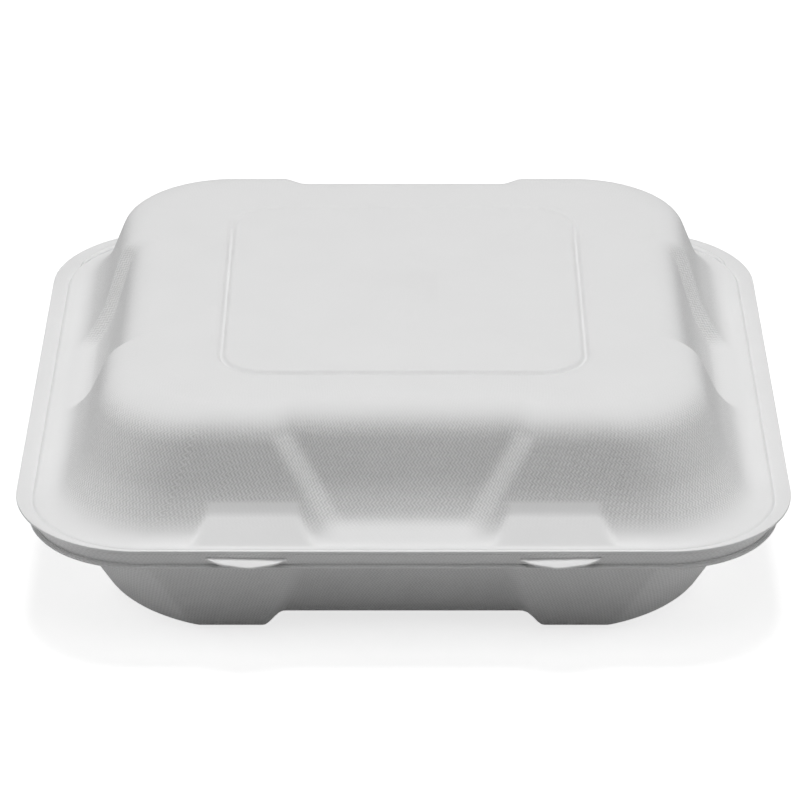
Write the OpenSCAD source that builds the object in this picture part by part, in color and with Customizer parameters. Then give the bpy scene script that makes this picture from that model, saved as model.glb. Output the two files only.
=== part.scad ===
// Hinged meal box moulded from sugarcane pulp: a tray, a lid on a fold along
// the back edge, and two lock tongues that come out through slots in the tray's
// front rim. Origin under the middle of the box and its tongues, on the surface
// that it stands on.
// +X is to the right, +Y to the hinge, +Z up. Millimetres.

/* [Lid outline] */
// Width over the lid's side flanges
lid_w = 229.5; // [200:0.5:250]
// Depth from the lid's front lip to the outside of the hinge fold
box_d = 224.5; // [200:0.5:250]
// Corner radius of the lid's front corners
lid_front_r = 38; // [28:1:44]
// Corner radius of the lid's back corners
lid_back_r = 40; // [28:1:44]

/* [Heights] */
// Top of the lid's flange above the table
flange_z = 40; // [34:0.5:48]
// Height of the lid's crown above its flange
crown_h = 32; // [26:0.5:38]
// Height of the tray's rim wall, from its cut edge to the underside of the ledge
rim_h = 4.4; // [4:0.1:6]
// Height of the bottom between the four feet
foot_h = 2.8; // [1:0.1:4]

/* [Pulp sheet] */
// Thickness of the moulded sheet
sheet_t = 0.9; // [0.7:0.05:1.1]
// Gap between the tray's rim and the lid that rests on it
rim_gap = 0.35; // [0.3:0.05:0.5]
// Gap between the hinge fold and the lid's back edge
fold_gap = 0.3; // [0.3:0.05:0.5]

/* [Lid flange and shelf] */
// Width of the lid's flange outside the groove, at the sides
flange_w = 4.4; // [3:0.1:6]
// Width of the lid's lip outside the groove, at the front
lip_w = 1.3; // [1:0.1:3]
// Width of the groove's rise to the shelf
groove_w = 0.8; // [0.5:0.1:1.5]
// Depth of the groove at the sides and back
groove_side_d = 0.5; // [0.2:0.05:0.5]
// Depth of the groove along the front
groove_front_d = 0.2; // [0.1:0.05:0.3]
// Width of flange and shelf, from the outer edge to the crown's foot, at the sides
shelf_side_w = 9.75; // [8.5:0.25:14]
// Width of lip and shelf, from the front edge to the crown's foot
shelf_front_w = 5.5; // [4.5:0.25:10]
// Width of flange and shelf from the fold's outside to the crown's foot, at the back
shelf_back_w = 9.5; // [8.5:0.1:16]

/* [Crown] */
// Draft of the crown's wall from the vertical, in degrees
crown_draft = 20; // [15:0.5:24]
// Radius of the fillet at the crown's foot
crown_foot_r = 8; // [4:0.5:9]
// Radius of the crown's shoulder
crown_top_r = 12; // [6:0.5:13]
// Corner radius of the crown in plan, the same at every height
crown_corner_r = 30; // [26:0.5:38]
// Depth of the flute in the middle of each wall of the crown
crown_flute_d = 3.4; // [1:0.1:4]
// Half the width of the flute's floor at the crown's foot
crown_flute_low = 16; // [12:0.5:20]
// Half the width of the flute's floor at the crown's top
crown_flute_high = 31; // [24:0.5:34]
// Width of each slanted flank of a flute
flute_flank = 6; // [4:0.5:8]
// Half the width of the raised panel's outline on the crown, at its groove
panel_x = 54.5; // [44:0.5:60]
// Half the depth of the raised panel's outline on the crown, at its groove
panel_y = 59.5; // [48:0.5:64]
// Corner radius of the panel's groove
panel_r = 14; // [8:0.5:20]
// Width of the panel's groove
panel_groove_w = 2.4; // [1.6:0.1:3]
// Depth of the panel's groove
panel_groove_d = 0.35; // [0.2:0.05:0.5]

/* [Tray] */
// Setback of the tray's rim inside the lid's outer edge, at the sides
rim_side_in = 3; // [2.5:0.1:4]
// Setback of the tray's rim behind the lid's front lip
rim_front_in = 0.35; // [0.2:0.05:1]
// Inward lean of the rim wall from top to bottom, at the sides and back
rim_side_lean = 2.1; // [0.5:0.1:2.5]
// Inward lean of the rim wall from top to bottom, at the front
rim_front_lean = 0.5; // [0.2:0.1:1]
// Width of the ledge from the foot of the rim wall to the bowl, at the sides
ledge_w = 8; // [6:0.25:10]
// Draft of the bowl's wall from the vertical, in degrees
bowl_draft = 24; // [15:0.5:26]
// Radius where the bowl's wall turns under into the feet
bowl_foot_r = 8; // [5:0.5:10]
// Corner radius of the bowl in plan, the same at every height
bowl_corner_r = 25; // [22:0.5:34]
// Depth of the flute in the middle of each wall of the bowl
bowl_flute_d = 3.2; // [1:0.1:4]
// Half the width of the flute's floor at the bowl's top
bowl_flute_high = 26; // [22:0.5:30]
// Half the width of the flute's floor at the bowl's bottom
bowl_flute_low = 36; // [32:0.5:40]
// Width of the ring that the feet stand on
foot_ring_w = 12; // [8:0.5:16]

/* [Locks] */
// Distance of each slot's middle from the middle of the box
slot_x = 47.25; // [44:0.25:50]
// Distance of each tongue's middle from the middle of the box
tongue_x = 45.5; // [43:0.25:48]
// Distance of each ramp's middle from the middle of the box
ramp_x = 43.75; // [42:0.25:46]
// Length of each slot in the rim wall
slot_l = 35; // [28:0.5:38]
// Height of each slot
slot_h = 2.3; // [2:0.1:2.6]
// Drop of the slot's middle below the top of the flange
slot_drop = 3.9; // [3.6:0.1:4.2]
// Fall of each slot towards the middle of the box, in degrees
slot_tilt = 1.5; // [0:0.5:2]
// Width of each tongue where it passes through its slot
tongue_w = 23.5; // [18:0.5:26]
// How far each tongue stands out in front of the lip
tongue_out = 3.3; // [2:0.1:5]
// Width of each lock's ramp on the lid, at its back
ramp_back_w = 27; // [20:0.5:28]
// Width of each lock's ramp on the lid, at the lip
ramp_front_w = 35.5; // [30:0.5:37]
// Depth of the ramp from the lip to its back
ramp_d = 14; // [13:0.5:16]
// Fall of the ramp towards the lip, in millimetres per millimetre
ramp_fall = 0.6; // [0.4:0.05:0.65]

/* [Hidden] */

pulp = [0.88, 0.88, 0.87];
// Number of straight steps in a quarter-round corner
steps_corner = 6;
// Width of the slanted edge along each side of a lock's ramp
ramp_edge = 2;
// Width and drop of the turn between the rim wall and the ledge
rim_fold_r = 0.8;
ledge_fillet = 1.2;
// How far the bowl's corners are flattened, from 0 for round to 1 for flat
bowl_facet = 0.5;
// Height over which the bottom's lift between the feet dies out in the wall
foot_lift_h = 12;
// Length left free at each end of the hinge fold, next to the round corners
fold_end = 1.3;
// Height over which the crown's flutes grow in above the foot
flute_start = 3;
// Distance from the lip over which the groove grows from its front depth
groove_turn = 12;
// Distance from the lip at which the lip's step back behind the rim has died out
step_run = 5.5;
// Least distance between the lid's edge and the fold beyond the gap
fold_slack = 0.05;
// Width of the flange's soft turn down into the groove
groove_lead = 1.6;
// Gap between the tray's rim wall and a ramp that passes behind it
ramp_gap = 0.7;
// Distance of a ramp's lip below the slot's upper edge
ramp_under = 0.15;
// Sinking of the tongue's root into its ramp
tongue_bite = 0.1;
// Space that a slot's cutter runs past the sheet on both sides
cut_over = 2;
// What the rings of the lid's rim take off its corner radii, from the edge in
rim_less_front = [0, 2, 3, 4];
rim_less_back = [0, 2, 4, 5];
// What the rings of the tray's rim take off its corner radii, from the edge down
tray_less = [0, 2, 3];
// Share of the lip that lies flat before the groove
lip_flat = 0.6;
// Places of the crown wall's lower rings, past its foot fillet and around a ramp's top
foot_lead = 0.3;
foot_lag = 0.8;
ramp_lead = 0.2;
ramp_lag = 0.6;
// Share of the wall's straight part at its middle ring
wall_middle = 0.6;
// Half the length of the middle step along each side of the panel's groove
panel_step = 14;
// Thickness of the sheet under a ramp, measured straight down, in sheets
ramp_sheets = 1.1;
// Share of the feet's ring that stands flat on the table
foot_flat = 0.6;
// Overlap of a tongue's tip with its root
tip_over = 0.01;

front_y = tongue_out / 2 - box_d / 2;
back_y = front_y + box_d;
fold_r = (2 * sheet_t + rim_gap) / 2;
fold_y = back_y - fold_r;
fold_z = flange_z - groove_side_d - sheet_t - rim_gap / 2;
lid_back_y = fold_y - fold_r - fold_gap - fold_slack;

crown_x = lid_w / 2 - shelf_side_w;
crown_front = front_y + shelf_front_w;
crown_back = back_y - shelf_back_w;
crown_y = (crown_front + crown_back) / 2;

rim_z = flange_z - sheet_t - groove_side_d - rim_gap;
ledge_z = rim_z - rim_h;
rim_x = lid_w / 2 - rim_side_in;
bowl_x = rim_x - rim_side_lean - ledge_w;
bowl_front = front_y + rim_front_in + rim_front_lean + ledge_w;
bowl_back = 2 * crown_y - bowl_front;

function mix(a, b, t) = a + (b - a) * t;
function clamp01(t) = max(0, min(1, t));
function ease(t) = let(u = clamp01(t)) u * u * (3 - 2 * u);

// A level is one closed outline of the sheet: half width, front and back
// positions, height, front and back corner radii, facet share of the corners,
// flute depth and half width of the flute's floor.
function level(x, front, back, z, rf, rb, facet, fd, fw) =
    [x, front, back, z, rf, rb, facet, fd, fw];

// Distance of one point of a wall's flute in from the wall.
function flute_in(l, s) = l[7] * (1 - ease((abs(s) - l[8]) / flute_flank));

// Stations along half a side: over the flute's floor and flank, at the edges and
// the middle of a lock's ramp, and at the start of the corner.
function ramp_half(d) = let(start = lip_w + groove_w)
    mix(ramp_front_w, ramp_back_w, clamp01((d - start) / (ramp_d - start))) / 2;
function stations(l, reach) =
    let(d = l[1] - front_y, half = ramp_half(d), fw = l[8], top = fw + flute_flank,
        low = max(ramp_x - half - ramp_edge / 2, top + ramp_edge / 4),
        last = min(ramp_x + half + ramp_edge / 2, reach - ramp_edge / 4),
        high = min(ramp_x + half - ramp_edge / 2, last - ramp_edge / 4),
        at_ramp = [low, low + ramp_edge / 2, low + ramp_edge, (low + ramp_edge + high) / 2,
            high, (high + last) / 2, last, reach], parts = len(at_ramp),
        even = ease((d - ramp_d) / crown_run))
    concat([0, fw / 2, fw, fw + flute_flank / 3, fw + flute_flank * 2 / 3, top],
        [for (k = [0 : parts - 1]) mix(at_ramp[k], mix(top, reach, (k + 1) / parts), even)]);

// The points of one side, drawn as the front side and turned by quarter turns.
function side_points(l, out, start, stop, middle) = concat(
    let(s = stations(l, middle - start))
        [for (i = [len(s) - 1 : -1 : 1]) [middle - s[i], flute_in(l, s[i]) - out]],
    let(s = stations(l, stop - middle))
        [for (i = [0 : len(s) - 1]) [middle + s[i], flute_in(l, s[i]) - out]]);

// The points between two sides: an arc, flattened towards a facet.
function corner_points(x, out, r, facet) =
    [for (i = [1 : steps_corner - 1]) let(a = 90 * i / steps_corner, t = i / steps_corner)
        [x - r + r * mix(sin(a), t, facet), r - out - r * mix(cos(a), 1 - t, facet)]];

function turned(points, quarter) =
    [for (p = points) [p[0] * cos(90 * quarter) - p[1] * sin(90 * quarter),
                       p[0] * sin(90 * quarter) + p[1] * cos(90 * quarter)]];

function outline(l) =
    let(x = l[0], f = -l[1], b = l[2], rf = l[4], rb = l[5], c = crown_y)
    concat(
        turned(side_points(l, f, -x + rf, x - rf, 0), 0),
        turned(corner_points(x, f, rf, l[6]), 0),
        turned(side_points(l, x, -f + rf, b - rb, c), 1),
        turned(corner_points(b, x, rb, l[6]), 1),
        turned(side_points(l, b, -x + rb, x - rb, 0), 2),
        turned(corner_points(x, b, rb, l[6]), 2),
        turned(side_points(l, x, -b + rb, f - rf, -c), 3),
        turned(corner_points(f, x, rf, l[6]), 3));

// A level moved by t along the sheet's normal, for the sheet's other face.
function normal_at(levels, i) =
    let(a = levels[max(0, i - 1)], b = levels[min(len(levels) - 1, i + 1)],
        run = b[0] - a[0], rise = b[3] - a[3], d = norm([run, rise]))
    [rise / d, -run / d];
function moved(l, n, t) = let(dx = n[0] * t, dz = n[1] * t)
    level(l[0] + dx, l[1] - dx, l[2] + dx, l[3] + dz, l[4] + dx, l[5] + dx, l[6], l[7], l[8]);

function flat(lists) = [for (l = lists) for (p = l) p];

// A closed sheet between the levels' own face and the face t away from it.
module sheet(own, other, upward) {
    n = len(own[0]);
    m = len(own);
    count = n * m;
    points = concat(flat(own), flat(other),
        [[0, crown_y, own[m - 1][0][2]], [0, crown_y, other[m - 1][0][2]]]);
    function at(i, j) = i * n + (j % n);
    face = [for (i = [0 : m - 2], j = [0 : n - 1], k = [0, 1])
        k == 0 ? [at(i, j), at(i + 1, j), at(i, j + 1)]
               : [at(i, j + 1), at(i + 1, j), at(i + 1, j + 1)]];
    cap = [for (j = [0 : n - 1]) [at(m - 1, j), 2 * count, at(m - 1, j + 1)]];
    back = [for (f = concat(face, cap)) [for (v = [f[0], f[2], f[1]])
        v == 2 * count ? 2 * count + 1 : v + count]];
    edge = [for (j = [0 : n - 1], k = [0, 1])
        k == 0 ? [at(0, j), at(0, j + 1), count + at(0, j)]
               : [at(0, j + 1), count + at(0, j + 1), count + at(0, j)]];
    all = concat(face, cap, back, edge);
    polyhedron(points, upward ? all : [for (f = all) [f[0], f[2], f[1]]], convexity = 8);
}

// Lid

function lid_level(inset_side, inset_front, inset_back, z, rf, rb) =
    level(lid_w / 2 - inset_side, front_y + inset_front, lid_back_y - inset_back, z, rf, rb,
        0, 0, crown_flute_low);

flange_in = [0, flange_w - groove_lead, flange_w, flange_w + groove_w];
lip_in = [0, lip_w * lip_flat, lip_w, lip_w + groove_w];
rim_depth = [0, 0, -1, 0];
lid_rim = [for (i = [0 : 3]) lid_level(flange_in[i], lip_in[i], flange_in[i], rim_depth[i],
    lid_front_r - rim_less_front[i], lid_back_r - rim_less_back[i])];

// The crown's section: run in from the foot and height, with the share of the
// way up, which sets how wide the flute is.
wall_a = 90 - crown_draft;
crown_straight = (crown_h - (crown_foot_r + crown_top_r) * (1 - cos(wall_a))) / sin(wall_a);
foot_run = crown_foot_r * sin(wall_a);
foot_rise = crown_foot_r * (1 - cos(wall_a));
function on_wall(run) = [run, foot_rise + (run - foot_run) * tan(wall_a)];
ramp_run = ramp_d - shelf_front_w;
crown_section = concat(
    [for (i = [0 : 2]) let(a = wall_a * i / 2) [crown_foot_r * sin(a), crown_foot_r * (1 - cos(a))]],
    [on_wall(max(foot_run + foot_lead, ramp_run - ramp_lead)),
        on_wall(max(foot_run + foot_lag, ramp_run + ramp_lag)),
        on_wall(foot_run + cos(wall_a) * crown_straight * wall_middle)],
    [for (i = [0 : 3]) let(a = wall_a * (1 - i / 3))
        [foot_run + cos(wall_a) * crown_straight + crown_top_r * (sin(wall_a) - sin(a)),
         crown_h - crown_top_r * (1 - cos(a))]]);
crown_run = crown_section[len(crown_section) - 1][0];
function crown_level(run, z) = let(up = clamp01(z / (crown_h - crown_top_r / 2)))
    level(crown_x - run, crown_front + run, crown_back - run, z,
        crown_corner_r, crown_corner_r, 0,
        crown_flute_d * ease(z / flute_start),
        mix(crown_flute_low, crown_flute_high, up));
function panel_level(out, z) =
    level(panel_x + out, crown_y - panel_y - out, crown_y + panel_y + out, z,
        panel_r + out, panel_r + out, 0, 0, panel_step);
lid_levels = concat(lid_rim, [for (p = crown_section) crown_level(p[0], p[1])], [
    panel_level(panel_groove_w / 2, crown_h),
    panel_level(0, crown_h - panel_groove_d),
    panel_level(-panel_groove_w / 2, crown_h)]);

// How far inside a lock's ramp a point lies, from 0 to 1.
function ramp_share(p) =
    let(d = p[1] - front_y)
    ease((ramp_half(d) - abs(abs(p[0]) - ramp_x)) / ramp_edge + 0.5) * (d < ramp_d ? 1 : 0);
ramp_lip_z = -(slot_drop - slot_h / 2 + ramp_under);
ramp_lip_in = rim_front_in + rim_front_lean + sheet_t + ramp_gap;
function ramp_z(d) = ramp_lip_z + ramp_fall * (d - ramp_lip_in);

// The lid's free form: the groove's depth, and the ramps over the tongues. At a
// ramp's edge the lip first steps back behind the tray's rim and then goes down.
// The underside of a point keeps the same share of the ramp as the point above it.
function step_back(share) = clamp01(2 * share);
function step_down(share) = clamp01(2 * share - 1);
function lid_point(p, z) =
    let(d = p[1] - front_y, share = ramp_share(p),
        groove = mix(groove_front_d, groove_side_d, ease((d - groove_turn) / (2 * groove_turn))),
        y = p[1] + step_back(share) * max(0, ramp_lip_in * (1 - d / step_run)))
    [p[0], y, flange_z + mix(z < 0 ? z * groove : z, ramp_z(y - front_y), step_down(share))];
function under_point(q, below, share) =
    [mix(below[0], q[0], share), mix(below[1], q[1], share),
        mix(below[2], q[2] - sheet_t * ramp_sheets, share)];

module lid_shell() {
    raw = [for (l = lid_levels) outline(l)];
    top = [for (i = [0 : len(raw) - 1]) [for (p = raw[i]) lid_point(p, lid_levels[i][3])]];
    // the rim's underside lies straight below, the crown's along its normal
    under = [for (i = [0 : len(raw) - 1])
        let(rim = i < len(lid_rim), m = moved(lid_levels[i], normal_at(lid_levels, i), -sheet_t),
            low = rim ? raw[i] : outline(m))
        [for (j = [0 : len(low) - 1]) let(q = top[i][j], share = step_down(ramp_share(raw[i][j])))
            rim ? q - [0, 0, sheet_t] : under_point(q, [low[j][0], low[j][1], flange_z + m[3]], share)]];
    sheet(top, under, true);
}

module lid() {
    color(pulp) lid_shell();
}

// Tray

// The tray's levels run from the cut edge of its rim down the rim wall, in
// along the ledge's underside, down the bowl and in under the bottom.
function tray_level(side_in, front_in, z, r_less) =
    level(rim_x - side_in, front_y + rim_front_in + front_in, rim_back_y - side_in, z,
        rim_front_r - r_less, rim_back_r - r_less, 0, 0, bowl_flute_high);
rim_back_y = fold_y + sheet_t / 2;
rim_front_r = lid_front_r - rim_less_front[1];
rim_back_r = lid_back_r - rim_less_back[1];
tray_rim = [
    tray_level(0, 0, rim_z, tray_less[0]),
    tray_level(rim_side_lean, rim_front_lean, ledge_z + rim_fold_r, tray_less[1]),
    tray_level(rim_side_lean + rim_fold_r, rim_front_lean + rim_fold_r, ledge_z, tray_less[2])];

bowl_a = 90 - bowl_draft;
bowl_turn = bowl_foot_r * tan(bowl_a / 2);
bowl_run = ledge_z * tan(bowl_draft);
function bowl_level(run, z) =
    level(bowl_x - run, bowl_front + run, bowl_back - run, z, bowl_corner_r, bowl_corner_r,
        bowl_facet, bowl_flute_d * (1 - ease((run - bowl_run - bowl_turn) / foot_ring_w)),
        min(mix(bowl_flute_low, bowl_flute_high, clamp01(z / ledge_z)),
            bowl_x - run - bowl_corner_r - flute_flank - ramp_edge));
bowl_section = concat(
    [[-ledge_fillet, ledge_z], [ledge_fillet * sin(bowl_draft), ledge_z - ledge_fillet]],
    [for (i = [1 : 2]) let(z = mix(ledge_z - ledge_fillet, bowl_turn * sin(bowl_a), i / 2))
        [(ledge_z - z) * tan(bowl_draft), z]],
    [for (i = [1 : 3]) let(a = bowl_a * (1 - i / 3))
        [bowl_run + bowl_turn - bowl_foot_r * sin(a), bowl_foot_r * (1 - cos(a))]],
    [[bowl_run + bowl_turn + foot_ring_w * foot_flat, 0],
     [bowl_run + bowl_turn + foot_ring_w, foot_h]]);
tray_levels = concat(tray_rim, [for (p = bowl_section) bowl_level(p[0], p[1])]);

// The bottom stands on four corner feet: the middle of each side is lifted.
function foot_lift(p, i) =
    let(s = min(abs(p[0]), abs(p[1] - crown_y)), share = 1 - ease((s - bowl_flute_low) / flute_flank))
    i < len(tray_levels) - 1 ? share * foot_h * clamp01(1 - tray_levels[i][3] / foot_lift_h) : 0;

module tray_shell() {
    raw = [for (l = tray_levels) outline(l)];
    outer = [for (i = [0 : len(raw) - 1])
        [for (p = raw[i]) [p[0], p[1], tray_levels[i][3] + foot_lift(p, i)]]];
    inner = [for (i = [0 : len(raw) - 1])
        let(n = i == 0 ? [-1, 0] : i == len(raw) - 1 ? [0, 1] : normal_at(tray_levels, i),
            m = moved(tray_levels[i], n, sheet_t), low = outline(m))
        [for (j = [0 : len(low) - 1]) [low[j][0], low[j][1], m[3] + foot_lift(raw[i][j], i)]]];
    sheet(outer, inner, false);
}

// One slot in the rim wall, with round ends.
module slot_cutter() {
    translate([0, front_y - cut_over, flange_z - slot_drop]) rotate([-90, 0, 0]) rotate(slot_tilt)
        linear_extrude(rim_front_in + rim_front_lean + sheet_t + 2 * cut_over) {
            square([slot_l - slot_h, slot_h], center = true);
            for (side = [-1, 1]) translate([side * (slot_l - slot_h) / 2, 0]) circle(d = slot_h, $fn = 24);
        }
}

module hinge_fold() {
    half = rim_x - rim_back_r - fold_end;
    translate([-half, fold_y, fold_z]) rotate([0, 90, 0]) cylinder(r = fold_r, h = 2 * half, $fn = 32);
}

module tray() {
    color(pulp) {
        difference() {
            tray_shell();
            translate([-slot_x, 0, 0]) slot_cutter();
            translate([slot_x, 0, 0]) mirror([1, 0, 0]) slot_cutter();
        }
        hinge_fold();
    }
}

// Tongues

// A tongue continues its ramp out through the slot and ends in a round tip.
tongue_a = 12; // fall of a tongue towards its tip, in degrees
tip_r = (pow(tongue_w / 2, 2) + pow(tongue_out, 2)) / (2 * tongue_out);
module tongue(side) {
    root = ramp_lip_in - sheet_t * sin(tongue_a) - tongue_bite / 2;
    translate([side * tongue_x, front_y + root, flange_z + ramp_lip_z - tongue_bite]) rotate([tongue_a, 0, 0])
        translate([0, 0, -sheet_t]) linear_extrude(sheet_t) {
            translate([-tongue_w / 2, -root]) square([tongue_w, root]);
            intersection() {
                translate([0, tip_r - tongue_out - root]) circle(r = tip_r, $fn = 96);
                translate([-tongue_w / 2, -tongue_out - root]) square([tongue_w, tongue_out + tip_over]);
            }
        }
}
module tongue_left() { color(pulp) tongue(-1); }
module tongue_right() { color(pulp) tongue(1); }

tray();
lid();
tongue_left();
tongue_right();
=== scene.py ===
import math
import bpy
import numpy as np
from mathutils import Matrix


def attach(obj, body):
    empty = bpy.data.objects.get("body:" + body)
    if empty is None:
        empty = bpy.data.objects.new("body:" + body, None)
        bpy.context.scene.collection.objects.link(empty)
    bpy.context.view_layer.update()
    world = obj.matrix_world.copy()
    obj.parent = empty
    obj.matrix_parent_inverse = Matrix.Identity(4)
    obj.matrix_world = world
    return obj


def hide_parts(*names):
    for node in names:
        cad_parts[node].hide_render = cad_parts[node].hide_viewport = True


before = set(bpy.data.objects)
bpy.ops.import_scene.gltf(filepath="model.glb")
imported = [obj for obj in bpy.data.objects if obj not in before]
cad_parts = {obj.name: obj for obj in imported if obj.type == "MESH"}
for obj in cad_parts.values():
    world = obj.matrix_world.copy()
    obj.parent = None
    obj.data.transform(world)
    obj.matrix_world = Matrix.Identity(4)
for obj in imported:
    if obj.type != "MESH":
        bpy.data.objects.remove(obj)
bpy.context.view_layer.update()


# Tray: the lower half of one sheet moulded from sugarcane pulp and dried on a wire
# mesh. Its rim wall stands up from a ledge, with two slots for the lid's tongues,
# and the bowl below it stands on four corner feet.

# millimetres in the frame of the box, +Y towards the fold
FRONT = -110.6  # the lid's front lip
BACK = 113.9  # the outside of the fold
FLANGE_Z = 40.0  # the top of the lid's flange
SHEET = 0.9
TRAY_Y = -2.45  # the middle of the bowl from front to back
FLANK = 6.0  # the width of a flute's slanted side
SIDE_POINTS = 112
CORNER_POINTS = 28
STROKE = 1.07  # the spacing of the mesh imprint's strokes
METRE = 0.001


def ease(t):
    t = np.clip(t, 0.0, 1.0)
    return t * t * (3.0 - 2.0 * t)


def mix(a, b, t):
    return a + (b - a) * t


def outline(half, front, back, r_front, r_back, facet=0.0, flute=0.0, floor=20.0,
            middle=TRAY_Y, flank=FLANK):
    """One closed line round the sheet, seen from above, with a flute in each side. The
    facet share flattens the corners; the floor is half the width of a flute's bottom."""
    def side(start, stop, centre):
        s = np.linspace(start, stop, SIDE_POINTS)
        return s, flute * (1.0 - ease((np.abs(s - centre) - floor) / flank))

    def corner(x, y, r, start):
        t = np.arange(1, CORNER_POINTS) / CORNER_POINTS
        a = np.radians(start + 90.0 * t)
        arc = np.stack([np.cos(a), np.sin(a)], 1)
        ends = np.radians([start, start + 90.0])
        chord = np.outer(1 - t, [math.cos(ends[0]), math.sin(ends[0])]) \
            + np.outer(t, [math.cos(ends[1]), math.sin(ends[1])])
        return np.array([x, y]) + r * mix(arc, chord, facet)

    s, inward = side(-half + r_front, half - r_front, 0.0)
    line = [np.stack([s, front + inward], 1)]
    line.append(corner(half - r_front, front + r_front, r_front, -90.0))
    s, inward = side(front + r_front, back - r_back, middle)
    line.append(np.stack([half - inward, s], 1))
    line.append(corner(half - r_back, back - r_back, r_back, 0.0))
    s, inward = side(half - r_back, -half + r_back, 0.0)
    line.append(np.stack([s, back - inward], 1))
    line.append(corner(-half + r_back, back - r_back, r_back, 90.0))
    s, inward = side(back - r_back, front + r_front, middle)
    line.append(np.stack([-half + inward, s], 1))
    line.append(corner(-half + r_front, front + r_front, r_front, 180.0))
    return np.concatenate(line)


def surface_normals(grid, upward):
    """Unit normals of a grid of rings, from the differences along and across them."""
    along = np.roll(grid, -1, axis=1) - np.roll(grid, 1, axis=1)
    across = np.gradient(grid, axis=0)
    n = np.cross(along, across)
    n /= np.linalg.norm(n, axis=2, keepdims=True) + 1e-12
    return n if upward else -n


def add_object(name, data):
    piece = bpy.data.objects.new(name, data)
    bpy.context.scene.collection.objects.link(piece)
    return piece


def sheet_object(name, grid, normals, thickness, edge, weave, cap_rings=4):
    """A closed moulded sheet: the grid, its other face and a rounded cut edge."""
    count = grid.shape[1]
    out = grid[0] - grid[1]
    out -= (out * normals[0]).sum(1, keepdims=True) * normals[0]
    out /= np.linalg.norm(out, axis=1, keepdims=True)
    other = grid - normals * thickness
    steps = np.radians([30.0, 60.0, 90.0])
    turned = [(out * edge * math.sin(a), normals[0] * edge * (1 - math.cos(a))) for a in steps]
    near = [grid[0] + away - down for away, down in turned]
    far = [other[0] + away + down for away, down in turned]
    rows = list(grid[::-1]) + near + far[::-1] + list(other)
    imprint = list(weave[::-1]) + [weave[0]] * (2 * len(steps)) + list(weave)

    def cap(row):
        middle = row.mean(0)
        return [mix(row, middle, k / cap_rings) for k in range(1, cap_rings)], middle
    top_rows, top_middle = cap(rows[0])
    end_rows, end_middle = cap(rows[-1])
    rows = top_rows[::-1] + rows + end_rows
    imprint = [imprint[0]] * len(top_rows) + imprint + [imprint[-1]] * len(end_rows)
    m = len(rows)
    points = np.concatenate(rows + [top_middle[None], end_middle[None]])
    values = np.concatenate(imprint + [imprint[0][:1], imprint[-1][:1]])
    turn = imprint[0][-1, 0] + (imprint[0][1, 0] - imprint[0][0, 0])
    j = np.arange(count)
    k = (j + 1) % count
    faces = []
    for i in range(m - 1):
        low, high = i * count, (i + 1) * count
        faces += np.stack([low + j, low + k, high + k, high + j], 1).tolist()
    faces += [[m * count, int(b), int(a)] for a, b in zip(j, k)]
    last = (m - 1) * count
    faces += [[m * count + 1, int(last + a), int(last + b)] for a, b in zip(j, k)]
    mesh = bpy.data.meshes.new(name)
    mesh.from_pydata((points * METRE).tolist(), [], faces)
    mesh.shade_smooth()
    # at the seam the place along the sheet runs on instead of jumping back to zero
    loops = np.empty(len(mesh.loops), np.int32)
    mesh.loops.foreach_get("vertex_index", loops)
    starts = np.empty(len(mesh.polygons), np.int32)
    mesh.polygons.foreach_get("loop_start", starts)
    sizes = np.diff(np.append(starts, len(loops)))
    at_loops = values[loops]
    far_along = np.repeat(np.maximum.reduceat(at_loops[:, 0], starts), sizes)
    at_loops[:, 0] += np.where(far_along - at_loops[:, 0] > turn / 2, turn, 0.0)
    field = mesh.attributes.new("imprint", "FLOAT_VECTOR", "CORNER")
    field.data.foreach_set("vector", at_loops.astype(np.float32).ravel())
    mesh.update()
    return add_object(name, mesh)


def imprint_field(grid, strength):
    """Place along and across the sheet in millimetres, and the mesh imprint's strength."""
    middle = len(grid) // 2
    step = np.linalg.norm(np.roll(grid[middle], -1, axis=0) - grid[middle], axis=1)
    along = np.concatenate([[0.0], np.cumsum(step)[:-1]])
    whole = round(step.sum() / STROKE) * STROKE
    along *= (whole - step[-1]) / along[-1]
    across = np.concatenate([[np.zeros(grid.shape[1])],
                             np.cumsum(np.linalg.norm(np.diff(grid, axis=0), axis=2), axis=0)])
    return np.stack([np.broadcast_to(along, across.shape), across, strength], 2)


class Node:
    """A socket of a shader, with the sums that the finish needs written as Python."""
    tree = None

    def __init__(self, socket):
        self.socket = socket

    @classmethod
    def make(cls, kind, settings=None, sockets=None, output=0):
        node = cls.tree.nodes.new(kind)
        for name, value in (settings or {}).items():
            if name == "stops":
                while len(node.color_ramp.elements) < len(value):
                    node.color_ramp.elements.new(0.5)
                for element, (place, grey) in zip(node.color_ramp.elements, value):
                    element.position = place
                    element.color = (grey, grey, grey, 1.0)
            else:
                setattr(node, name, value)
        for name, value in (sockets or {}).items():
            if isinstance(value, Node):
                cls.tree.links.new(value.socket, node.inputs[name])
            else:
                node.inputs[name].default_value = value
        return cls(node.outputs[output]) if node.outputs else None

    def sum(self, operation, *others):
        values = {0: self}
        values.update({i + 1: other for i, other in enumerate(others)})
        return Node.make("ShaderNodeMath", {"operation": operation}, values)

    def __add__(self, other): return self.sum("ADD", other)
    def __radd__(self, other): return self.sum("ADD", other)
    def __mul__(self, other): return self.sum("MULTIPLY", other)
    def __rmul__(self, other): return self.sum("MULTIPLY", other)
    def __sub__(self, other): return self.sum("SUBTRACT", other)
    def __truediv__(self, other): return self.sum("DIVIDE", other)

    def __rsub__(self, other):
        return Node.make("ShaderNodeMath", {"operation": "SUBTRACT"}, {0: other, 1: self})


def new_material(name):
    material = bpy.data.materials.new(name)
    material.use_nodes = True
    material.node_tree.nodes.clear()
    Node.tree = material.node_tree
    return material


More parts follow.
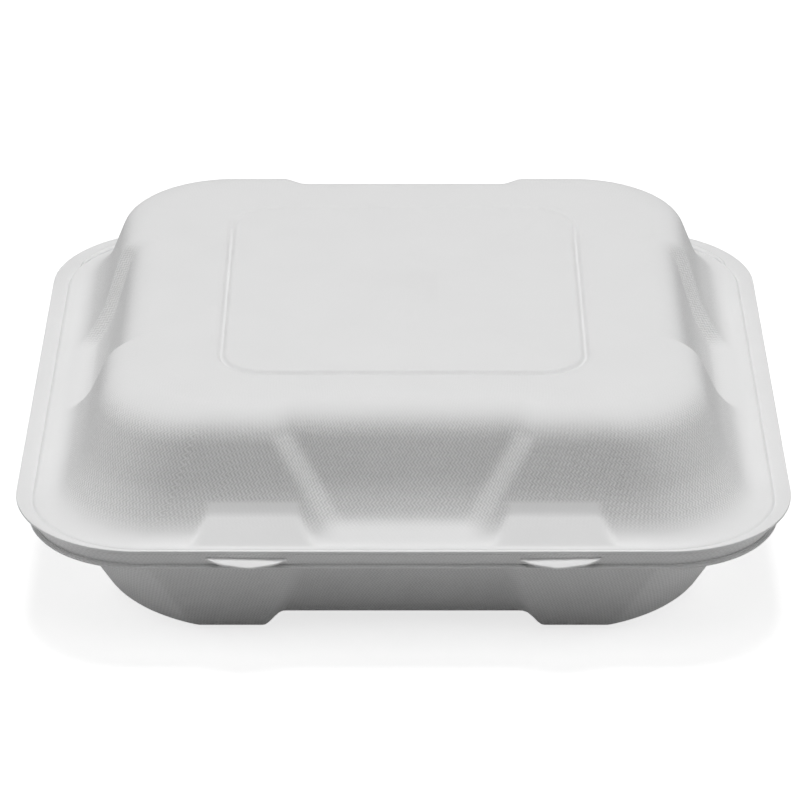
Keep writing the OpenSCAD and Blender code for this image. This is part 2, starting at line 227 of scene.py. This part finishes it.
def pulp_material():
    """Dried pulp: a matt off-white felt of fibres with the wire mesh's chevron imprint."""
    material = new_material("sugarcane_pulp")
    place = Node.make("ShaderNodeAttribute", {"attribute_name": "imprint"}, output="Vector")
    parts = Node.make("ShaderNodeSeparateXYZ", {}, {"Vector": place}).socket.node.outputs
    along, across, strength = (Node(part) for part in parts)
    position = Node.make("ShaderNodeTexCoord", {}, output="Object")

    def noise(scale, detail, roughness=0.5):
        return Node.make("ShaderNodeTexNoise", {}, {"Vector": position, "Scale": scale,
                                                    "Detail": detail, "Roughness": roughness})

    # chevrons of the wire mesh: slanted strokes in rows 1 mm high, which turn back in
    # every second row
    zigzag = (across / 2.0).sum("PINGPONG", 0.5)
    waver = noise(60.0, 2.0)
    stroke = (along / STROKE + zigzag * 1.7 + waver * 0.9) * (2.0 * math.pi)
    row = (across * (2.0 * math.pi)).sum("COSINE")
    chevron = stroke.sum("SINE") * (0.8 + row * 0.2)

    fibres = noise(1500.0, 3.0, 0.6)
    felt = noise(420.0, 4.0, 0.55)
    clouds = noise(55.0, 3.0)
    height = chevron * strength * 0.5 + felt * 0.25 + fibres * 0.35 * (strength + 0.35)
    bump = Node.make("ShaderNodeBump", {}, {"Strength": 1.0, "Distance": 0.00009, "Height": height})
    tint = Node.make("ShaderNodeValToRGB", {"stops": [(0.3, 0.82), (0.7, 0.84)]},
                     {"Fac": clouds * 0.6 + fibres * 0.4})
    # painted shade darkens the mesh imprint's strokes, and the fibres that stand out have a
    # slightly darker tone of their own
    stroke_shade_and_fibre_tone = 1.0 - (chevron * 0.5 + 0.5) * strength * 0.24 - (fibres - 0.5) * (strength * 0.25 + 0.04)
    tone = Node.make("ShaderNodeMix", {"data_type": "RGBA", "blend_type": "MULTIPLY"},
                     {0: 1.0, 6: tint, 7: stroke_shade_and_fibre_tone}, output=2)
    shader = Node.make("ShaderNodeBsdfPrincipled", {}, {
        "Base Color": tone, "Roughness": 0.85, "Normal": bump, "Specular IOR Level": 0.25})
    Node.make("ShaderNodeOutputMaterial", {}, {"Surface": shader})
    return material


pulp = pulp_material()

FOLD_Y = 112.825  # the middle of the fold's bead
RIM_HALF = 111.75
RIM_FRONT = FRONT + 0.15
RIM_BACK = FOLD_Y + SHEET / 2
RIM_Z = 38.25
RIM_LIFT = 0.68  # how much higher the rim stands along the front
RIM_STEPS = 10
RIM_TURN = 0.95  # height of the turn from the rim wall into the ledge
LEAN_SIDE = 2.1
LEAN_FRONT = 1.3
LEDGE_Z = 33.85
LEDGE_FILLET = 1.5
BOWL_HALF = 101.65
BOWL_FRONT = FRONT + 8.85
BOWL_BACK = 2 * TRAY_Y - BOWL_FRONT
BOWL_R = 25.0
BOWL_FACET = 0.5
BOWL_WALL = math.radians(66.0)
BOWL_SLOPE = 1.0 / math.tan(BOWL_WALL)
BOWL_FLUTE = 4.2
FLUTE_LOW = 36.0  # half the width of the bowl's flutes at the bottom
FLUTE_HIGH = 26.0  # and at the ledge
FOOT_R = 8.0
FOOT_TURN = FOOT_R * math.tan(BOWL_WALL / 2)
BOTTOM_RUN = LEDGE_Z * BOWL_SLOPE + FOOT_TURN  # from the bowl's upper edge to the flat bottom
FOOT_RUN = 12.0
FOOT_LIFT = 2.8
FOOT_LIFT_H = 12.0  # height at which the lift between the feet has died out
BOTTOM_STEPS = 7


def tray_section():
    """The tray's section from the rim's cut edge to the raised middle of its bottom. The
    values of a rim row are the inset at the sides, the inset in front, the height and what
    comes off the corner radius. A ledge row has the share of the way to the bowl first, and
    a bowl row the run from the bowl's upper edge."""
    rows = []
    turn_z = LEDGE_Z + RIM_TURN
    for t in np.linspace(0.0, 1.0, RIM_STEPS):
        rows.append(("rim", LEAN_SIDE * t, LEAN_FRONT * t, mix(RIM_Z, turn_z, t), 2.0 * t))
    # the wall's lower edge stands out a little before the sheet turns in
    for out, down in ((0.3, 0.04), (0.7, 0.1), (1.0, 0.2), (1.1, 0.35), (1.0, 0.52), (0.5, 0.72),
                      (-0.2, 0.88)):
        rows.append(("rim", LEAN_SIDE - out, LEAN_FRONT - out, turn_z - down, 2.0))
    rows.append(("rim", LEAN_SIDE + 0.8, LEAN_FRONT + 0.8, LEDGE_Z, 2.6))
    for t in (0.25, 0.5, 0.75, 0.9):
        rows.append(("ledge", t, 0, LEDGE_Z, 0))
    for a in BOWL_WALL * np.linspace(0, 1, 5):
        rows.append(("bowl", LEDGE_FILLET * (math.sin(a) - 1.0) + 0.6, 0,
                     LEDGE_Z - LEDGE_FILLET * (1 - math.cos(a)), 0))
    for z in np.linspace(LEDGE_Z - 1.6, FOOT_TURN * math.sin(BOWL_WALL), 15):
        rows.append(("bowl", (LEDGE_Z - z) * BOWL_SLOPE, 0, z, 0))
    for a in BOWL_WALL * (1 - np.linspace(0, 1, 9)[1:]):
        rows.append(("bowl", BOTTOM_RUN - FOOT_R * math.sin(a), 0, FOOT_R * (1 - math.cos(a)), 0))
    for t in (0.2, 0.4):
        rows.append(("bowl", BOTTOM_RUN + FOOT_RUN * t, 0, 0.0, 0))
    for t in np.linspace(0, 1, BOTTOM_STEPS)[1:]:
        rows.append(("bowl", BOTTOM_RUN + FOOT_RUN * mix(0.45, 1.05, t), 0,
                     FOOT_LIFT * float(ease(t)), 0))
    return rows


def bowl_line(run, z):
    """The bowl's line at a run from its upper edge; the flutes fade out on the bottom."""
    depth = BOWL_FLUTE * float(1 - ease((run - BOTTOM_RUN) / FOOT_RUN))
    floor = mix(FLUTE_LOW, FLUTE_HIGH, min(1.0, z / LEDGE_Z))
    return outline(BOWL_HALF - run, BOWL_FRONT + run, BOWL_BACK - run, BOWL_R, BOWL_R, BOWL_FACET,
                   depth, floor)


def tray_grid():
    """The tray's lower face as rings from the rim's cut edge to the middle of the bottom."""
    rings = []
    last_rim = None
    for kind, a, b, z, c in tray_section():
        if kind == "rim":
            line = outline(RIM_HALF - a, RIM_FRONT + b, RIM_BACK - a, 36.0 - c, 38.0 - c)
            last_rim = line
        elif kind == "ledge":
            line = mix(last_rim, bowl_line(-0.9, LEDGE_Z), a)
        else:
            line = bowl_line(a, z)
        rings.append(np.column_stack([line, np.full(len(line), z)]))
    rings = np.array(rings)
    # the rim reaches up to the lip along the front
    front = 1 - ease((rings[:RIM_STEPS, :, 1] - FRONT - 8.0) / 20.0)
    rings[:RIM_STEPS, :, 2] += np.linspace(1, 0, RIM_STEPS)[:, None] * front * RIM_LIFT
    # the middle of each side stands clear of the table
    near = np.minimum(np.abs(rings[..., 0]), np.abs(rings[..., 1] - TRAY_Y))
    share = 1 - ease((near - FLUTE_LOW) / FLANK)
    lift = share * np.clip(FOOT_LIFT * (1 - rings[..., 2] / FOOT_LIFT_H), 0, None)
    lift[-BOTTOM_STEPS:] *= np.linspace(1, 0, BOTTOM_STEPS)[:, None]
    rings[..., 2] += lift
    return rings


grid = tray_grid()
normals = surface_normals(grid, False)
# the mesh imprint is strongest on the bowl and weakest round the ledge
strength = np.full(grid.shape[:2], 0.7)
strength[:RIM_STEPS] = 0.42
strength[RIM_STEPS:RIM_STEPS + 12] = 0.25
tray = sheet_object("tray_sheet", grid, normals, SHEET, 0.25, imprint_field(grid, strength))
tray.data.materials.append(pulp)

# each slot is cut with round ends and falls a little towards the middle of the box
SLOT_X = 47.25
SLOT_Z = FLANGE_Z - 3.5
SLOT_HALF = 17.5
SLOT_R = 1.15
SLOT_FALL = math.tan(math.radians(1.5))
for side in (-1, 1):
    mesh = bpy.data.meshes.new("slot_punch")
    ring = []
    for end, start in ((1, -90), (-1, 90)):
        for a in np.radians(np.linspace(start, start + 180, 13)):
            x, z = end * (SLOT_HALF - SLOT_R) + SLOT_R * math.cos(a), SLOT_R * math.sin(a)
            ring.append((side * SLOT_X + x, SLOT_Z + z + x * SLOT_FALL * side))
    count = len(ring)
    points = [(x * METRE, y * METRE, z * METRE) for y in (FRONT - 2, FRONT + 4) for x, z in ring]
    faces = [[i, (i + 1) % count, count + (i + 1) % count, count + i] for i in range(count)]
    faces += [list(range(count))[::-1], list(range(count, 2 * count))]
    mesh.from_pydata(points, [], faces)
    punch = add_object("slot_punch", mesh)
    cut = tray.modifiers.new("slot", "BOOLEAN")
    cut.object = punch
    cut.solver = "EXACT"
    bpy.context.view_layer.objects.active = tray
    bpy.ops.object.modifier_apply(modifier=cut.name)
    bpy.data.objects.remove(punch)

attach(tray, "tray")
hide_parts("tray")


# Lid: the upper half of the same moulded sheet. A flange and a shelf run round the
# raised crown, each wall of the crown has a flute, and a ramp comes down to each of
# the tray's slots. It hangs on the fold at the back.

LID_HALF = 114.75
LID_BACK = 111.4
CROWN_HALF = 106.3
CROWN_FRONT = FRONT + 4.2
CROWN_BACK = BACK - 7.3
CROWN_Y = (CROWN_FRONT + CROWN_BACK) / 2
CROWN_R = 29.0
CROWN_H = 32.0
CROWN_TOP_R = 12.0
CROWN_TURN = 45.0  # degrees at which the quick turn gives way to the hollow curve
CROWN_WALL = 70.0  # degrees of the steep part of the wall
CROWN_FLUTE = 4.0
PANEL_X = 54.5
PANEL_Y = 59.5
PANEL_R = 14.0
RAMP_X = 43.75
RAMP_FRONT = 2.1  # distances behind the lip
RAMP_BACK = 13.2
RAMP_WIDE = 18.0  # half widths, in front and at the back
RAMP_NARROW = 13.4
RAMP_FLANK = 2.6
RAMP_BACK_Z = 6.4
RAMP_FALL = 0.62


def crown_section():
    """Inset and height from the foot up: a quick turn out of the shelf, a long hollow
    curve into the wall, and the round shoulder."""
    lower = [(CROWN_TURN * (k + 0.5) / 6, 5.0 / 6) for k in range(6)]
    lower += [(mix(CROWN_TURN, CROWN_WALL, (k + 0.5) / 12), 14.0 / 12) for k in range(12)]
    step = CROWN_TOP_R * math.radians(CROWN_WALL) / 13
    shoulder = [(CROWN_WALL * (1 - (k + 0.5) / 13), step) for k in range(13)]
    rise = sum(length * math.sin(math.radians(a)) for a, length in lower + shoulder)
    wall = (CROWN_H - rise) / math.sin(math.radians(CROWN_WALL))
    rows = [(0.0, 0.0)]
    for a, length in lower + [(CROWN_WALL, wall / 8)] * 8 + shoulder:
        run, z = rows[-1]
        a = math.radians(a)
        rows.append((run + length * math.cos(a), z + length * math.sin(a)))
    return rows


def lid_grid():
    """The lid's upper face as rings from the lip in to the panel, heights above the flange."""
    lines, heights = [], []

    def rim(side, front, z_side, z_front, r_less):
        """Insets and heights at the sides and in front, and what comes off the radius."""
        line = outline(LID_HALF - side, FRONT + front, LID_BACK - side,
                       38.0 - r_less, 40.0 - r_less)
        share = ease((line[:, 1] - FRONT - 12.0) / 24.0)
        lines.append(line)
        heights.append(mix(z_front, z_side, share))

    rim(0.22, 0.22, 0.0, 0.0, 0.2)
    for t in np.linspace(0, 1, 8)[1:]:
        rim(mix(0.22, 4.3, t), mix(0.22, 1.05, t), -0.8 * t ** 2, -0.14 * t ** 2, 3.0 * t)
    rim(4.6, 1.15, -1.02, -0.22, 3.1)
    rim(4.9, 1.25, -1.05, -0.22, 3.3)
    rim(5.25, 1.4, -0.5, -0.1, 3.7)
    rim(5.6, 1.6, 0.0, 0.02, 4.1)
    rim(5.95, 1.85, 0.16, 0.05, 4.5)
    start = lines[-1]
    foot = outline(CROWN_HALF, CROWN_FRONT, CROWN_BACK, CROWN_R, CROWN_R)
    for t in (0.2, 0.4, 0.6, 0.8):
        lines.append(mix(start, foot, t))
        heights.append(np.full(len(foot), 0.12 * (1 - t)))
    for run, z in crown_section():
        depth = CROWN_FLUTE * float(ease(z / 3.0))
        floor = mix(16.0, 32.0, min(1.0, z / 26.0))
        lines.append(outline(CROWN_HALF - run, CROWN_FRONT + run, CROWN_BACK - run,
                             CROWN_R, CROWN_R, 0.0, depth, floor, CROWN_Y, 7.0))
        heights.append(np.full(len(foot), z))
    edge = lines[-1]

    def panel(out):
        r = PANEL_R + out
        return outline(PANEL_X + out, CROWN_Y - PANEL_Y - out, CROWN_Y + PANEL_Y + out, r, r)

    for t in (0.2, 0.4, 0.6, 0.8, 0.92):
        lines.append(mix(edge, panel(1.6), t))
        heights.append(np.full(len(foot), CROWN_H))
    for out, depth in ((1.6, -0.02), (1.2, -0.25), (0.8, -0.8), (0.4, -1.25), (0.0, -1.4),
                       (-0.4, -1.25), (-0.8, -0.8), (-1.2, -0.25), (-1.6, -0.02),
                       (-2.2, 0.0), (-4.0, 0.0), (-12.0, 0.0)):
        lines.append(panel(out))
        # the groove fades out towards the back of the box
        fade = 1 - ease((lines[-1][:, 1] - 30.0) / 34.0)
        heights.append(CROWN_H + depth * fade)
    return np.concatenate([np.array(lines), np.array(heights)[..., None]], 2)


def lock_share(points):
    """How far inside a ramp a point lies across its width, from 0 to 1."""
    d = points[..., 1] - FRONT
    half = mix(RAMP_WIDE, RAMP_NARROW, np.clip((d - RAMP_FRONT) / (RAMP_BACK - RAMP_FRONT), 0, 1))
    return ease((half - np.abs(np.abs(points[..., 0]) - RAMP_X)) / RAMP_FLANK + 0.5)


grid = lid_grid()

# each ramp is a wedge laid over the shelf, rising to the foot of the crown's wall
d = grid[..., 1] - FRONT
share = lock_share(grid) * (d < RAMP_BACK + 0.6)
wedge = np.maximum(RAMP_BACK_Z - RAMP_FALL * (RAMP_BACK - d), grid[..., 2])
grid[..., 2] = FLANGE_Z + mix(grid[..., 2], wedge, share)
normals = surface_normals(grid, True)

# the imprint shows on the walls of the crown, faintly on its top and least on the ramps
height = grid[..., 2] - FLANGE_Z
wall = ease((height - 0.6) / 5.0) * (1 - 0.9 * ease((height - 26.0) / 5.0))
strength = np.where(height > 31.3, 0.1, np.maximum(wall, 0.04)) * (1 - 0.9 * share)
lid = sheet_object("lid_sheet", grid, normals, SHEET * 0.94, 0.22, imprint_field(grid, strength))
lid.data.materials.append(pulp)
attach(lid, "lid")
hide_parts("lid")


# Lock tongues: the ends of the lid's ramps, part of the same sheet. Each comes out
# through its slot with a round, slightly uneven tip.

TONGUE_X = 45.5
TONGUE_HALF = 11.75
TONGUE_ROOT = 2.1  # behind the lip
TONGUE_Z = FLANGE_Z - 2.2


def plate_object(name, top, low):
    """A closed plate between two grids of points, without the mesh imprint."""
    n, m = top.shape[:2]
    index = np.arange(n * m).reshape(n, m)
    corners = [index[:-1, :-1], index[1:, :-1], index[1:, 1:], index[:-1, 1:]]
    near = np.stack(corners, 2).reshape(-1, 4)
    edge = np.concatenate([index[0], index[1:, -1], index[-1, -2::-1], index[-2:0:-1, 0]])
    ahead = np.roll(edge, -1)
    border = np.stack([edge, ahead, ahead + n * m, edge + n * m], 1)
    faces = np.concatenate([near, near[:, ::-1] + n * m, border])
    points = np.concatenate([top.reshape(-1, 3), low.reshape(-1, 3)])
    mesh = bpy.data.meshes.new(name)
    mesh.from_pydata((points * METRE).tolist(), [], faces.tolist())
    mesh.shade_smooth()
    field = mesh.attributes.new("imprint", "FLOAT_VECTOR", "POINT")
    field.data.foreach_set("vector", np.zeros(len(points) * 3, np.float32))
    return add_object(name, mesh)


for side, label in ((-1, "left"), (1, "right")):
    columns = np.linspace(-TONGUE_HALF, TONGUE_HALF, 61)
    reach = np.interp(-side * columns,
                      [-TONGUE_HALF, -9.2, -6.3, -2.0, 1.8, 4.4, 6.8, 9.7, TONGUE_HALF],
                      [-0.4, 1.2, 2.3, 3.1, 3.4, 2.7, 2.0, 0.8, -0.4])
    reach = np.convolve(np.pad(reach, 3, "edge"), np.hanning(9)[1:-1] / 4.0, "valid")
    points = []
    for t in np.linspace(0, 1, 15):
        y = mix(FRONT + TONGUE_ROOT, FRONT - reach, t)
        z = TONGUE_Z + 0.21 * (y - FRONT - 2.4) + 0.022 * side * columns
        z -= 0.06 * np.cos(columns * 0.8) * t
        points.append(np.column_stack([side * TONGUE_X + columns, y, z]))
    points = np.array(points)
    tongue = plate_object("tongue_sheet_" + label, points, points - np.array([0, 0, SHEET * 0.6]))
    tongue.data.materials.append(pulp)
    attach(tongue, "lid")
    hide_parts("tongue_" + label)


# Fold: the crease along the back where the sheet bends, joining the tray's rim to
# the lid's flange.

FOLD_Z = 38.425
FOLD_HALF = 72.45
FOLD_R = 1.02
FOLD_HOLLOW = 0.3


def fold_wall(radius):
    """Half round the fold's axis at one radius, from above to below along its length."""
    rows = []
    for a in np.radians(np.linspace(90, -90, 15)):
        y, z = FOLD_Y + radius * math.cos(a), FOLD_Z + radius * math.sin(a)
        rows.append([(x, y, z) for x in np.linspace(-FOLD_HALF, FOLD_HALF, 80)])
    return np.array(rows)


fold = plate_object("fold_sheet", fold_wall(FOLD_R), fold_wall(FOLD_HOLLOW))
fold.data.materials.append(pulp)
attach(fold, "tray")


# Studio: a pale floor that keeps the box's shadow, a lamp overhead, a weaker one
# above the front and two low ones at the sides, and the camera of the photograph.

def seen():
    """1 for the rays that show a surface, 0 for the ones that only light something."""
    rays = Node.make("ShaderNodeLightPath").socket.node.outputs
    camera, glossy, through = (Node(rays["Is %s Ray" % kind])
                               for kind in ("Camera", "Glossy", "Transmission"))
    return (camera + glossy + through).sum("MINIMUM", 1.0)


def floor_material(name, strength, grey):
    """Diffuse paint with a glow that the camera sees but that lights nothing."""
    material = new_material(name)
    paint = Node.make("ShaderNodeBsdfDiffuse", {}, {"Color": (grey, grey, grey, 1.0)})
    glow = Node.make("ShaderNodeEmission", {}, {"Color": (1, 1, 1, 1), "Strength": strength})
    dark = Node.make("ShaderNodeEmission", {}, {"Color": (0, 0, 0, 1), "Strength": 0.0})
    lit = Node.make("ShaderNodeMixShader", {}, {0: seen(), 1: dark, 2: glow})
    both = Node.make("ShaderNodeAddShader", {}, {0: paint, 1: lit})
    Node.make("ShaderNodeOutputMaterial", {}, {"Surface": both})
    return material


FLOOR_HALF = 3.0
mesh = bpy.data.meshes.new("floor")
corners = [(x * FLOOR_HALF, y * FLOOR_HALF, 0) for x, y in ((-1, -1), (1, -1), (1, 1), (-1, 1))]
mesh.from_pydata(corners, [], [[0, 1, 2, 3]])
floor = add_object("floor", mesh)
floor.data.materials.append(floor_material("floor_white", 0.75, 0.62))

world = bpy.data.worlds.new("studio")
bpy.context.scene.world = world
world.use_nodes = True
world.node_tree.nodes.clear()
Node.tree = world.node_tree
back = Node.make("ShaderNodeBackground", {}, {"Color": (1, 1, 1, 1), "Strength": seen()})
Node.make("ShaderNodeOutputWorld", {}, {"Surface": back})


def lamp(name, place, target, width, depth, power):
    """An area lamp in metres and watts that looks at its target."""
    data = bpy.data.lights.new(name, "AREA")
    data.shape = "RECTANGLE"
    data.size = width
    data.size_y = depth
    data.energy = power
    light = add_object(name, data)
    light.location = place
    look = np.array(target) - np.array(place)
    yaw = math.atan2(look[0], look[1])
    pitch = math.atan2(math.hypot(look[0], look[1]), -look[2])
    light.rotation_euler = (pitch, 0.0, -yaw)


lamp("overhead", (0.0, 0.0, 1.5), (0.0, 0.0, 0.0), 0.5, 0.5, 14.0)
lamp("above_front", (0.0, -0.75, 1.3), (0.0, 0.0, 0.03), 0.9, 0.6, 3.4)
lamp("left_side", (-1.3, 0.0, 0.34), (0.0, 0.0, 0.05), 1.0, 0.6, 4.0)
lamp("right_side", (1.3, 0.0, 0.34), (0.0, 0.0, 0.05), 1.0, 0.6, 4.0)

LOOK_DOWN = 27.0  # degrees
camera_data = bpy.data.cameras.new("camera")
camera_data.lens = 183.35
camera_data.sensor_width = 36.0
camera_data.sensor_fit = "HORIZONTAL"
camera_data.shift_x = -3.5 / 800.0
camera_data.clip_end = 20.0
camera = add_object("camera", camera_data)
camera.location = (0.0, (FRONT - 1026.05) * METRE, (FLANGE_Z + 571.85) * METRE)
camera.rotation_euler = (math.radians(90.0 - LOOK_DOWN), 0.0, 0.0)
bpy.context.scene.camera = camera
bpy.context.scene.view_settings.view_transform = "Standard"
